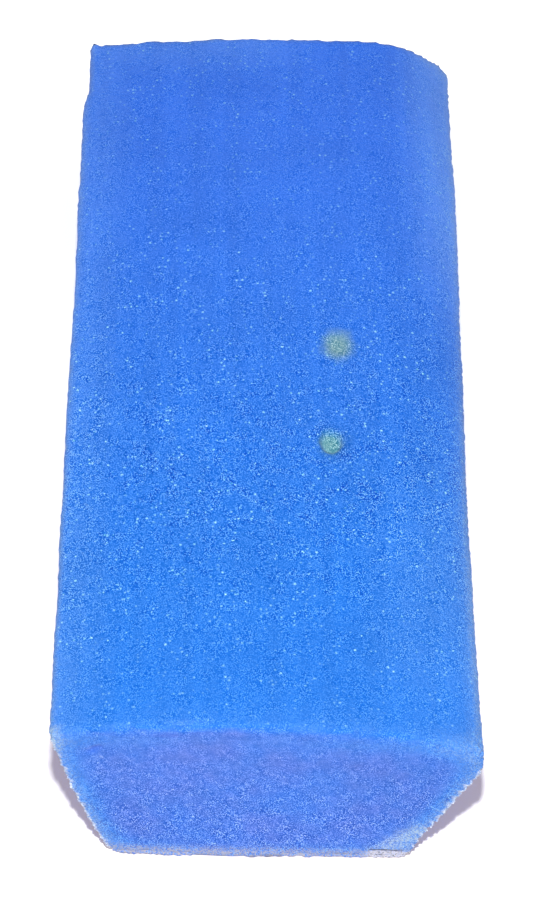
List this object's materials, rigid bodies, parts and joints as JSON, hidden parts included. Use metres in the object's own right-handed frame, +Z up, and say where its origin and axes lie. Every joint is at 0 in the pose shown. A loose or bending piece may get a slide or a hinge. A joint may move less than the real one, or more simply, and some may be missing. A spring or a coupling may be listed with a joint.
{
  "type": "foam block",
  "caption": "Hand-size block of fine-cell blue foam with a softly crowned top, a rolled long edge and undercut flanks, resting on a narrower flat base.",
  "frame": {"origin": "middle of the block's outline on the plane that its flat base rests on", "axes": "+X to the right, towards the rolled shoulder; +Y along the length, from the skewed near end to the square far end; +Z up"},
  "size_m": [0.0533, 0.128, 0.0267],
  "materials": {
    "blue_foam": "matt, fine open cells, as cut"
  },
  "bodies": {
    "root": {"foam_block": "blue_foam"}
  },
  "joints": []
}
